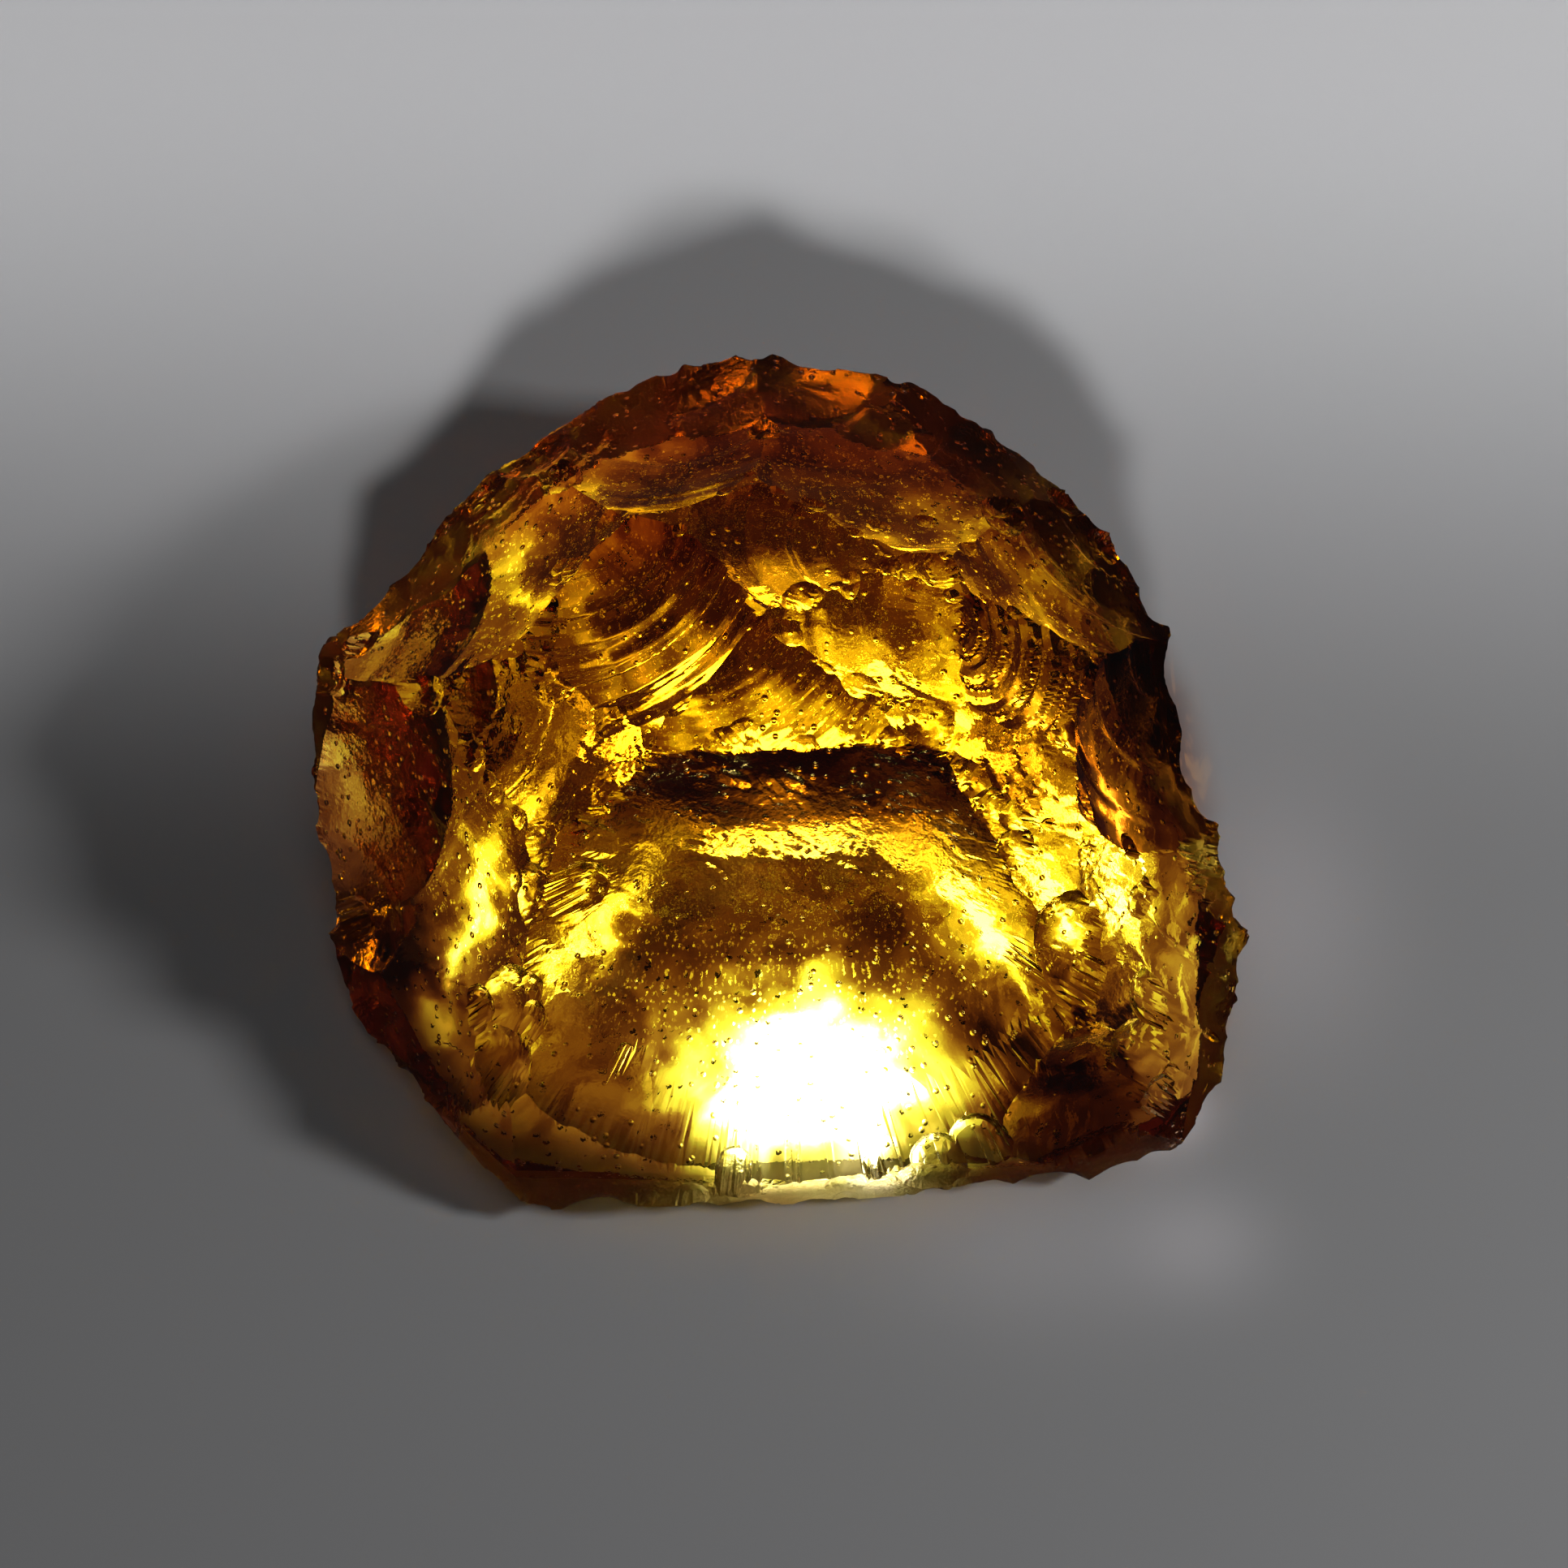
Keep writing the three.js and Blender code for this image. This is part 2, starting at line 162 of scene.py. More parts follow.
# %% [markdown]
# ## The flake scars
# Each scar is a ball of stated radius that passes through three corners. Its middle lies
# on the far side of them from the heart, so the ball bites a dish out of the block. The
# shock that freed a flake left rings round the struck point, and fine streaks called
# hackles that run away from it.

# %% Scars
PLACES = TOP | SLOPE | {
    f"{side}_{number}": corner
    for side, corners_there in RIM.items() for number, corner in enumerate(corners_there)
}

# Three corners, the ball's radius, the struck point, the rings' pitch and height, and the
# height of the hackles.
SCARS = dict(
    basin=["crest_left crest_right lip", 19, "peak", 3.6, 0.1, 0],
    fan=["crest_left crest_right peak", 12, "bowl_north", 0.55, 0.035, 0],
    dome=["dome_foot back_edge ledge", 45, "back_0", 4.5, 0.1, 0],
    hollow=["bowl_north saddle back_left_low", 18, "shoulder_6", 2.8, 0.12, 0.02],
    shoulder=["shoulder_low shoulder_back shoulder_top", 28, "shoulder_0", 3.2, 0.12, 0],
    bowl=["bowl_west bowl_north peak", 10, "saddle", 1.5, 0.18, 0.02],
    left_face=["west_knee left_7 west_foot", 44, "left_7", 4.2, 0.12, 0.02],
    east_slope=["peak crest_east north_east", 13, "north_east", 1.8, 0.12, 0.03],
    band=["dome_foot_left dome_foot_right peak", 20, "dome_foot_right", 2.4, 0.12, 0.04],
    ledge=["ledge right_0 scoop_north", 22, "right_0", 2.6, 0.12, 0.03],
    ripples=["ripple_head scoop_head ripple_foot", 8.5, "ripple_head", 1.1, 0.14, 0],
    scoop=["scoop_rim scoop_head scoop_foot", 10, "scoop_rim", 2.2, 0.1, 0.02],
    flank=["scoop_foot flank_top right_3", 26, "right_2", 2.4, 0.12, 0.08],
    arm=["crest_right arm_foot arm_top", 20, "crest_right", 2.2, 0.12, 0.04],
    arm_shelf=["shelf scoop_head arm_top", 16, "scoop_head", 2.0, 0.12, 0.03],
    arm_foot=["arm_top arm_foot flank_top", 20, "arm_top", 2.4, 0.1, 0.05],
    left_wall=["crest_left wall_middle elbow", 22, "crest_left", 2.2, 0.12, 0.04],
    left_dish=["west_knee crest_left elbow", 17, "west_knee", 2.2, 0.12, 0.03],
    left_front=["wall_foot west_foot lip_left", 16, "west_foot", 2.4, 0.12, 0.03],
    right_front=["arm_foot front_right lip_right", 13, "arm_foot", 2.4, 0.12, 0.03],
    left_corner=["west_corner west_foot left_corner", 30, "left_corner", 2.8, 0.12, 0.03],
)
# The undercut sides: two rim corners, the number of the base corner below them, how far
# down the side the scar begins, the ball's radius and the rings' pitch.
UNDERCUTS = [
    ["shoulder_6", "back_3", 0, 0.3, 34, 4.4],
    ["back_4", "back_7", 1, 0.22, 24, 3.8],
    ["right_0", "right_1", 2, 0.22, 20, 3.4],
    ["right_1", "right_2", 3, 0.0, 19, 3.2],
    ["right_3", "right_6", 4, 0.3, 20, 3.4],
    ["front_1", "front_3", 5, 0.4, 26, 3.4],
    ["front_4", "front_6", 6, 0.4, 26, 3.4],
    ["left_0", "left_3", 7, 0.22, 20, 3.2],
    ["left_4", "left_6", 8, 0.3, 24, 4.0],
    ["shoulder_0", "shoulder_3", 9, 0.22, 20, 3.6],
    ["shoulder_3", "shoulder_5", 10, 0.22, 12, 3.0],
]
UNDERCUT_RINGS, UNDERCUT_HACKLES = 0.1, 0.03
print(len(SCARS), "scars and", len(UNDERCUTS), "undercut sides")

# %% [markdown]
# ## The scars' balls
# Three points leave a ball of known radius only two places, one on each side of their
# plane. The one away from the heart is taken. An undercut side is given by two corners of
# the rim and one of the base, so its ball needs two points in between.

# %% Balls
def below(rim_corner, base_corner, part):
    """A point part of the way from a rim corner down to a base corner."""
    return rim_corner + part * (base_corner - rim_corner)


def ball_centre(three, radius):
    """The middle of the ball through three corners, on the side away from the heart.

    Up from the middle of the corners' circle, square to their plane, by the leg of the
    right triangle whose hypotenuse is the radius.
    """
    a, b = three[1] - three[0], three[2] - three[0]
    normal = np.cross(a, b)
    to_circle = np.cross(normal, a) * (b @ b) + np.cross(b, normal) * (a @ a)
    to_circle /= 2 * normal @ normal
    rise = np.sqrt(radius**2 - to_circle @ to_circle)
    normal /= np.linalg.norm(normal)
    if (three[0] + to_circle - HEART) @ normal < 0:
        normal = -normal
    return three[0] + to_circle + rise * normal


scars = {
    name: [[PLACES[corner] for corner in three.split()], radius, PLACES[struck], *rings]
    for name, (three, radius, struck, *rings) in SCARS.items()
}
for number, (first, second, foot, part, radius, pitch) in enumerate(UNDERCUTS):
    first, second, foot = PLACES[first], PLACES[second], BASE[foot]
    three = [below(first, foot, part), below(second, foot, part), foot]
    scars[f"undercut_{number}"] = [three, radius, first, pitch, UNDERCUT_RINGS, UNDERCUT_HACKLES]
scar_names, scar_values = list(scars), list(scars.values())
scar_radii = np.array([radius for _, radius, *_ in scar_values], float)
scar_centres = np.array([ball_centre(three, radius) for three, radius, *_ in scar_values])
poles = np.array([struck for _, _, struck, *_ in scar_values]) - scar_centres
poles /= np.linalg.norm(poles, axis=1)[:, None]
print(len(scars), "balls, radii", scar_radii.min(), "to", scar_radii.max(), "mm")

# %% [markdown]
# ## Rings and hackles
# The relief of a scar is how far its surface stands out of the ball, as a function of two
# things: how far a point lies from the struck point, and in which direction. The rings
# depend on the distance, the hackles on the direction. Neither is allowed to be perfect:
# slow waves bend the rings and fade both in and out, as uneven stone does.

# %% Relief
WAVE_RATES = 0.7, 1.4  # the slowest and the quickest wave, beside the stated one
WAVE_GAIN = 1.6  # the mean of several waves seldom comes near its ends


def waves(points, size, seed, count=5):
    """A smooth uneven value from -1 to 1: the mean of a few sine waves of about one
    wavelength, in scattered directions and with scattered phases."""
    rng = np.random.default_rng(seed)
    directions = rng.normal(size=(count, 3))
    directions /= np.linalg.norm(directions, axis=1)[:, None]
    rates = 2 * np.pi / size * rng.uniform(*WAVE_RATES, count)
    phases = rng.uniform(0, 2 * np.pi, count)
    return np.mean(np.sin(points @ (directions * rates[:, None]).T + phases), axis=1) * WAVE_GAIN


# Uneven values: the wavelength in mm, the middle value, how far it swings, and the seed.
BEND = 9, 0, 0.16, 0  # of the rings, in turns
FADE = 12, 0.75, 0.6, 50
FINER_BEND = 4, 0, 1, 200
STREAK_BEND = 5, 0, 0.8, 100
SWELL = 4, 0.5, 0.9, 150
PATCHES = 3.5, 0.6, 0.8, 250
FAINTEST = 0.1
FINER_RINGS, FINER_HEIGHT = 2.7, 0.2  # how many to a ring, and how high beside it
HACKLES, FINER_HACKLES, FINER_HACKLE_HEIGHT = 14, 2.7, 0.5
ACROSS = [0.3, 0.5, 0.8]  # any direction that is no scar's own, to count the angle from
# How far the crumbs of the rougher scars stand out.
CRUMBLED = dict(
    basin=0.07, arm=0.04, arm_shelf=0.03, arm_foot=0.04, left_wall=0.05, left_dish=0.04,
    east_slope=0.03, band=0.02, left_front=0.03, right_front=0.03,
)
CRUMB_SIZES, CRUMB_WAVES, CRUMB_SEED = (1.1, 0.55), 7, 300
BASIN_FRONT, BASIN_BLEND = -6.5, 3  # the basin grows smooth in front of here, over this far


def uneven(points, kind, number, low=-np.inf, high=np.inf):
    """One of the uneven values above, for one scar: its middle plus its swing times the
    waves, kept between two limits."""
    size, middle, swing, seed = kind
    return np.clip(middle + swing * waves(points, size, number + seed), low, high)


def behind_basin_front(points):
    """0 in the smooth front of the basin, 1 behind it, in a straight line between them."""
    return np.clip((points[:, 1] - BASIN_FRONT) / BASIN_BLEND + 0.5, 0, 1)


def relief(number, points):
    """How far the stone stands out of one scar's ball, in millimetres.

    The rings are a raised cosine of the arc from the struck point, squared so that the
    crests are narrow, with finer rings between them. The hackles are a folded sine of the
    angle round the struck point.
    """
    _, radius, _, pitch, ring_height, hackle_height = scar_values[number]
    outward = (points - scar_centres[number]) / radius
    pole = poles[number]
    along = radius * np.arccos(np.clip(outward @ pole, -1, 1))
    turns = along / pitch + uneven(points, BEND, number)
    rings = (0.5 - 0.5 * np.cos(2 * np.pi * turns)) ** 2
    finer = 2 * np.pi * FINER_RINGS * turns + uneven(points, FINER_BEND, number)
    finer = 0.5 - 0.5 * np.cos(finer)
    fade = uneven(points, FADE, number, FAINTEST, 1)
    height = ring_height * fade * (rings + FINER_HEIGHT * finer)
    if hackle_height:
        side = np.cross(pole, ACROSS)
        side /= np.linalg.norm(side)
        angle = np.arctan2(outward @ np.cross(pole, side), outward @ side)
        streaks = angle * HACKLES + uneven(points, STREAK_BEND, number)
        finer = np.abs(np.sin(FINER_HACKLES * streaks + 1))
        streaks = np.abs(np.sin(streaks)) + FINER_HACKLE_HEIGHT * finer
        swell = uneven(points, SWELL, number, 0, 1)
        height = height + hackle_height * swell * streaks / (1 + FINER_HACKLE_HEIGHT)
    crumbled = CRUMBLED.get(scar_names[number], 0)
    if crumbled:
        patch = uneven(points, PATCHES, number, FAINTEST, 1)
        if scar_names[number] == "basin":
            patch *= behind_basin_front(points)
        for octave, size in enumerate(CRUMB_SIZES):
            crumbs = np.abs(waves(points, size, number + CRUMB_SEED + octave, CRUMB_WAVES))
            height = height - crumbled * patch * crumbs / 2**octave
    return height


pitches = [pitch for _, _, _, pitch, *_ in scar_values]
print("rings every", min(pitches), "to", max(pitches), "mm")

# %% [markdown]
# ## One ray to each point
# From its heart the whole surface of the stone can be seen: no ray leaves it twice. So the
# surface is a function of a direction: the distance to the nearest plane of the block, or
# to the nearest ball that stands before it. Which plane or ball it was is called the
# owner, and where the owner changes the stone has a ridge.

# %% Distance along a ray
RELIEF_STEPS = 3  # the relief moves the point that it is read at, so it is read again
CHIP_RELIEF, CHIP_SEEDS = 0.05, 10
NEAR_PLANE = 0.01  # in mm: relief may lift a ball that lies this little behind a plane
CHIP_VIEW = 0.9  # cosine of the widest angle at which a chip is looked for
LEVEL = 1e-9  # a ray that slopes less than this towards a plane never meets it
SCAR_OWNERS, CHIP_OWNERS = 1000, 2000  # owners are planes first, then scars, then chips
CHUNK = 40_000


def entry(directions, centre, radius):
    """Where rays from the heart first meet a ball, or infinity: the smaller root of the
    quadratic for the point's distance from the middle."""
    to_heart = HEART - centre
    half = directions @ to_heart
    inside = half**2 - to_heart @ to_heart + radius**2
    return np.where((inside > 0) & (half < 0), -half - np.sqrt(np.maximum(inside, 0)), np.inf)


def planes_along(directions):
    """The distance to the block's nearest plane, and which plane."""
    slopes = directions @ block_normals.T
    reach = (block_distances - block_normals @ HEART) / np.where(slopes > LEVEL, slopes, np.nan)
    owner = np.nanargmin(reach, axis=1)
    return reach[np.arange(len(reach)), owner], owner


def surface_along(directions, chips=(), with_relief=True):
    """The distance to the stone's surface and its owner."""
    depth, owner = planes_along(directions)
    for number, (centre, radius) in enumerate(zip(scar_centres, scar_radii)):
        reach = entry(directions, centre, radius)
        if with_relief:
            near = np.flatnonzero(reach < depth + NEAR_PLANE)
            for _ in range(RELIEF_STEPS):
                points = HEART + directions[near] * reach[near, None]
                points = np.nan_to_num(points, posinf=0, neginf=0)
                reach[near] = entry(directions[near], centre, radius - relief(number, points))
        hit = reach < depth
        depth[hit], owner[hit] = reach[hit], SCAR_OWNERS + number
    for number, (centre, radius) in enumerate(chips):
        aim = (centre - HEART) / np.linalg.norm(centre - HEART)
        near = np.flatnonzero(directions @ aim > CHIP_VIEW)
        reach = entry(directions[near], centre, radius)
        near, reach = near[np.isfinite(reach)], reach[np.isfinite(reach)]
        points = HEART + directions[near] * reach[:, None]
        crumbs = np.abs(waves(points, CRUMB_SIZES[1], number % CHIP_SEEDS, CRUMB_WAVES))
        reach = entry(directions[near], centre, radius + CHIP_RELIEF * crumbs)
        hit = reach < depth[near]
        depth[near[hit]], owner[near[hit]] = reach[hit], CHIP_OWNERS + number
    return depth, owner


upward, _ = surface_along(np.array([[0, 0, 1.0]]))
print("above its heart the stone is", np.round(upward[0], 2), "mm thick")

# %% [markdown]
# ## Chips and pits
# A ridge of crystal is brittle, and small chips have come off the ridges wherever the
# stone was knocked. They are flat flakes, so each is a wide ball that cuts in only a
# little, along the direction of the ridge nearest to a point between two corners.

# %% Chips
# Two corners, and the number of chips on the ridge between them.
CHIPPED_RIDGES = [
    ["crest_left", "crest_right", 3],
    ["crest_left", "elbow", 4],
    ["peak", "crest_right", 3],
    ["peak", "north_east", 3],
    ["crest_right", "arm_foot", 5],
    ["bowl_west", "bowl_north", 3],
    ["bowl_west", "crest_left", 3],
    ["dome_foot", "ledge", 4],
    ["saddle", "shoulder_back", 2],
    ["west_knee", "elbow", 3],
    ["scoop_head", "arm_top", 2],
    ["west_foot", "elbow_foot", 3],
    ["lip_left", "lip_right", 4],
    ["arm_foot", "flank_top", 2],
]
CHIP_RADII = 0.9, 2.8
CHIP_DEPTHS = 0.05, 0.2
RIM_CHIP_SPACING = 2.4
# Round pits: a point near each, and its radius.
PITS = [[[13.1, -4.4, 8.6], 0.5], [[10.4, -9.6, 9.2], 0.45], [[-6.0, -1.2, 14.0], 0.4]]
PIT_DEPTH = 0.27
RIDGE_STEP, RIDGE_STEPS = 0.01, 16
SCATTER_STEP, SCATTER_SCALE = 12.9898, 43758.5453
SEEDS_TO_A_RIDGE = 10.0


def unit(vectors):
    """Vectors scaled to a length of one."""
    return vectors / np.linalg.norm(vectors, axis=-1, keepdims=True)


def scatter(seed):
    """A number from 0 to 1 that jumps about: the fraction of a very fast sine wave."""
    return SCATTER_SCALE * np.sin(SCATTER_STEP * seed) % 1


def chip_balls(aims, radii, depths):
    """Balls that cut into the surface to given depths where rays along the aims leave it."""
    reach, _ = surface_along(aims, with_relief=False)
    centres = HEART + aims * (reach + radii - depths)[:, None]
    return list(zip(centres, radii))


def spread(limits, part):
    """Values between two limits: the low one at 0, the high one at 1."""
    low, high = limits
    return low + (high - low) * part


rim_chips = [
    round(np.linalg.norm(following - corner) / RIM_CHIP_SPACING)
    for corner, following in zip(rim, np.roll(rim, -1, axis=0))
]
print(sum(rim_chips), "chips along the rim, the widest", CHIP_RADII[1], "mm in radius")

# %% [markdown]
# ## Where the chips go
# Each ridge is given a number of places, spread with some scatter from one of its corners
# to the other. The straight line between two corners doesn't follow a curved ridge, so
# rays are sent out to both sides of it in small steps, and the first one that meets
# another face marks the ridge.

# %% Place the chips
ends = [[PLACES[first], PLACES[second], count] for first, second, count in CHIPPED_RIDGES]
ends += [list(side) for side in zip(rim, np.roll(rim, -1, axis=0), rim_chips)]
start, finish, counts = (np.array(column) for column in zip(*ends))
ridge = np.repeat(np.arange(len(ends)), counts)
turn = np.concatenate([np.arange(count) for count in counts])
seed = SEEDS_TO_A_RIDGE * ridge + turn + 1
part = (turn + scatter(seed)) / counts[ridge]
middle = unit(start[ridge] + part[:, None] * (finish - start)[ridge] - HEART)
sideways = unit(np.cross(middle, (finish - start)[ridge]))
steps = np.arange(1, RIDGE_STEPS + 1)
steps = RIDGE_STEP * np.append(0, np.stack([steps, -steps], axis=1).ravel())
looks = unit(middle[:, None] + steps[None, :, None] * sideways[:, None])
_, owners = surface_along(looks.reshape(-1, 3), with_relief=False)
changed = owners.reshape(len(seed), -1) != owners.reshape(len(seed), -1)[:, :1]
aims = looks[np.arange(len(seed)), changed.argmax(axis=1)]
size = scatter(seed + 0.5) ** 2  # most chips are small
chips = chip_balls(aims, spread(CHIP_RADII, size), spread(CHIP_DEPTHS, size))
pit_aims = unit(np.array([place for place, _ in PITS]) - HEART)
chips += chip_balls(pit_aims, np.array([radius for _, radius in PITS]), PIT_DEPTH)
print(len(chips), "chips and pits")

# %% [markdown]
# ## A grid laid over the stone
# Two square grids that share a border cover the stone like the two sides of a pillow: a
# fine one for what is seen from above, a coarse one for the side it lies on. Each square
# is first bent to a disc, then the disc to a shallow dome, and the dome's points give the
# directions of the rays.

# %% The grid
TOP_CELLS = 276
DOME = np.array([18.2, 16.8, 8.5])  # half widths and height of the dome, from the heart
RIM_DROP, RIM_TILT = 4.4, 2.5  # how far the border lies below the heart, lower in front
UNDERSIDE = -6.0


def disc(cells):
    """A square grid bent to a disc, as its radius and angle at each point.

    The radius is the larger of the two sides; the angle turns an eighth of a turn as the
    smaller side goes from nothing to as much as the larger one.
    """
    side = np.linspace(-1, 1, cells + 1)
    x, y = np.meshgrid(side, side)
    radius = np.maximum(np.abs(x), np.abs(y))
    wide = np.abs(x) >= np.abs(y)
    larger = np.where(radius == 0, 1, np.where(wide, x, y))
    angle = np.pi / 4 * np.where(wide, y, x) / larger
    angle = np.where(wide, angle, np.pi / 2 - angle) + np.where(larger < 0, np.pi, 0)
    return radius, angle


def dome_directions(cells, pole):
    """Directions to the points of a dome whose height falls off as the radius cubed."""
    radius, angle = disc(cells)
    border = -RIM_DROP + RIM_TILT * np.sin(angle)
    across, deep, _ = DOME
    return unit(np.stack([
        across * radius * np.cos(angle),
        deep * radius * np.sin(angle),
        pole + (border - pole) * radius**3,
    ], axis=-1))


upper = dome_directions(TOP_CELLS, DOME[2])
lower = dome_directions(TOP_CELLS // 2, UNDERSIDE)
top_ids = np.arange(upper[..., 0].size).reshape(upper.shape[:2])
inner = lower[1:-1, 1:-1]
inner_ids = top_ids.size + np.arange(inner[..., 0].size).reshape(inner.shape[:2])
directions = np.concatenate([upper.reshape(-1, 3), inner.reshape(-1, 3)])
print(len(directions), "rays")

# %% [markdown]
# ## Ridges stay sharp
# A plain grid would saw off every ridge, because its points fall to either side of it.
# So each point that has a ridge on the way to a neighbour is moved onto the ridge. The
# place is found by halving the way again and again, asking each time on which side of the
# ridge the middle lies. Nearly two hundred tiny chips are then set on the ridges found.

# %% Ridges
HALVINGS = 9
SMALL_CHIPS, SMALL_SEED = 170, 7
SMALL_RADII = 0.3, 1.4
SMALL_DEPTHS = 0.015, 0.1
CHIPPED_ABOVE = 1.2  # the edges of the flat face below stay whole


def neighbours(ids):
    """Pairs of grid points next to each other, along the rows and along the columns."""
    rows = np.stack([ids[:, :-1].ravel(), ids[:, 1:].ravel()])
    columns = np.stack([ids[:-1].ravel(), ids[1:].ravel()])
    return np.concatenate([rows, columns], axis=1)


def in_chunks(rays, balls):
    """The surface along many rays, a part of them at a time to spare memory."""
    parts = [surface_along(rays[i:i + CHUNK], balls) for i in range(0, len(rays), CHUNK)]
    return (np.concatenate(column) for column in zip(*parts))


def part_way(first, second, part):
    """Rays that point part of the way from some rays to others."""
    return unit(first + part[:, None] * (second - first))


def ridge_crossings(rays, owners, pairs, balls):
    """Where the owner changes between neighbours: the pairs, and the part of the way."""
    pairs = pairs[:, owners[pairs[0]] != owners[pairs[1]]]
    here, there = rays[pairs[0]], rays[pairs[1]]
    low, high = np.zeros(len(here)), np.ones(len(here))
    for _ in range(HALVINGS):
        half = (low + high) / 2
        _, found = in_chunks(part_way(here, there, half), balls)
        same = found == owners[pairs[0]]
        low, high = np.where(same, half, low), np.where(same, high, half)
    return pairs, (low + high) / 2


def snapped(rays, owners, pairs, balls):
    """The rays, those nearest to a ridge moved onto it."""
    pairs, part = ridge_crossings(rays, owners, pairs, balls)
    ends = np.concatenate([pairs[0], pairs[1]])
    others = np.concatenate([pairs[1], pairs[0]])
    parts = np.concatenate([part, 1 - part])
    order = np.argsort(-parts)  # the nearest crossing comes last, and is the one that stays
    order = order[parts[order] <= 0.5]
    moved = rays.copy()
    ends, others, parts = ends[order], others[order], parts[order]
    moved[ends] = part_way(rays[ends], rays[others], parts)
    return moved, len(np.unique(ends))


pairs = np.concatenate([neighbours(top_ids), neighbours(inner_ids)], axis=1)
print(pairs.shape[1], "pairs of neighbours")

# %% [markdown]
# ## The finest chips and the surface
# The ridges are found twice. The first time shows where the finest chips can sit. With
# them in place the ridges run a little differently, so they are found again, and only then
# are the points moved and the surface read off.

# %% Surface points
_, owners = in_chunks(directions, chips)
found, part = ridge_crossings(directions, owners, pairs, chips)
on_ridge = part_way(directions[found[0]], directions[found[1]], part)
reach, _ = in_chunks(on_ridge, chips)
on_ridge = on_ridge[(HEART + on_ridge * reach[:, None])[:, 2] > CHIPPED_ABOVE]
rng = np.random.default_rng(SMALL_SEED)
picked = on_ridge[rng.choice(len(on_ridge), SMALL_CHIPS, replace=False)]
size = rng.random(SMALL_CHIPS) ** 2
chips += chip_balls(picked, spread(SMALL_RADII, size), spread(SMALL_DEPTHS, size))
_, owners = in_chunks(directions, chips)
directions, count = snapped(directions, owners, pairs, chips)
depth, owners = in_chunks(directions, chips)
points = HEART + directions * depth[:, None]
points[:, 2] = np.maximum(points[:, 2], 0)
print(count, "points moved onto ridges;", len(chips), "chips")

# %% [markdown]
# ## Which faces are smooth
# A fresh fracture can be as smooth as a mirror or as rough as broken sugar, and this
# stone has both side by side. A number at each point says how rough the stone is there.
# It follows from the scar that the point lies on, so the change comes at the ridges, and
# slow waves make it patchy. The number is kept in the mesh as the attribute "frost", which
# the material reads.

# %% Frosting
# How crumbled each broken face is, from 0, a mirror, to 1.
SMOOTH = 0.02
FROSTED = dict(
    basin=0.3, arm=0.2, arm_shelf=0.12, arm_foot=0.2, left_wall=0.22, left_dish=0.16,
    left_front=0.16, right_front=0.12, east_slope=0.12, band=0.1, flank=0.05, left_face=0.03,
)
UNDERCUT_FROST = 0.14
BASE_FROST, BASE_TOP = 0.5, 0.02
LIP_FRONT, LIP_TOP, LIP_FROST = -13.8, 3.0, 0.5  # the front edge is crushed and white
FROST_PATCHES = {5: 300, 1.7: 301}  # sizes in mm and seeds
FROST_MIDDLE, FROST_SWING, FROST_LIMITS = 0.8, 0.3, (0.3, 1.2)


def on_scar(owners, name):
    """Which points lie on the scar of this name."""
    return owners == SCAR_OWNERS + scar_names.index(name)


def of_each_scar(owners, values, otherwise):
    """A value at each point: that of its scar by name, or another value."""
    table = np.array([values.get(name, otherwise) for name in scar_names], float)
    result = np.full(len(owners), float(otherwise))
    scarred = (owners >= SCAR_OWNERS) & (owners < CHIP_OWNERS)
    result[scarred] = table[owners[scarred] - SCAR_OWNERS]
    return result


def roughness_of(owners, points):
    """The frosting at each point: that of its scar, patchy, and the base's own."""
    undercut = {name: UNDERCUT_FROST for name in scar_names if "undercut" in name}
    rough = of_each_scar(owners, FROSTED | undercut, SMOOTH)
    patches = [waves(points, size, seed) for size, seed in FROST_PATCHES.items()]
    rough *= np.clip(FROST_MIDDLE + FROST_SWING * sum(patches), *FROST_LIMITS)
    in_basin = on_scar(owners, "basin")
    rough[in_basin] *= np.maximum(behind_basin_front(points[in_basin]), FAINTEST)
    rough[(points[:, 1] < LIP_FRONT) & (points[:, 2] < LIP_TOP)] = LIP_FROST
    rough[points[:, 2] < BASE_TOP] = BASE_FROST
    return np.maximum(rough, SMOOTH)


frost = roughness_of(owners, points)
print("frosting from", frost.min(), "to", np.round(frost.max(), 2))

# %% [markdown]
# ## Which faces are dark: painted shade
# Some faces of a cut or broken stone look dark although the crystal is clear: they send
# the eye's line of sight on a long way round inside, where little light comes back. Seen
# through a flat base that is hard to get from the shape alone, so that shade is painted on:
# each face is given a share of light, kept as the attribute "painted_shade_share", which darkens
# its colour as painted shade. A chip has the share of the face that it is chipped from.

# %% Dark faces
PAINTED_SHADE_SHARES = dict(
    scoop=0.03, undercut_3=0.2, undercut_2=0.35, ripples=0.2, arm_shelf=0.25, left_dish=0.4,
    left_corner=0.15, right_front=0.08, left_front=0.5, bowl=0.35, hollow=0.5, dome=0.5,
    band=0.3, ledge=0.4, undercut_8=0.4, undercut_9=0.6, left_face=0.8,
)
# Painted shade in the basin: it darkens up to its back wall.
WALL_SHADE_SHARE, WALL_FROM, WALL_TO = 0.06, -5.8, -4.2  # the basin darkens up to its back wall
SHARE_SWING, SHARE_SIZE, SHARE_SEED = 0.35, 4, 320


def painted_shade_share_of(owners, points):
    """The painted shade at each point, as the share of light it keeps: its scar's own, in slow
    patches.
    """
    share = of_each_scar(owners, PAINTED_SHADE_SHARES, 1)
    in_basin = on_scar(owners, "basin")
    upward = np.clip((points[:, 1] - WALL_FROM) / (WALL_TO - WALL_FROM), 0, 1)
    share[in_basin] = 1 - (1 - WALL_SHADE_SHARE) * upward[in_basin]
    return np.clip(share * (1 + SHARE_SWING * waves(points, SHARE_SIZE, SHARE_SEED)), 0, 1)


# The painted shade is read from the faces without their chips.
_, unchipped = in_chunks(directions, ())
painted_shade_share = painted_shade_share_of(unchipped, points)
print("light let through:", np.round(100 * painted_shade_share.mean()), "% on average")

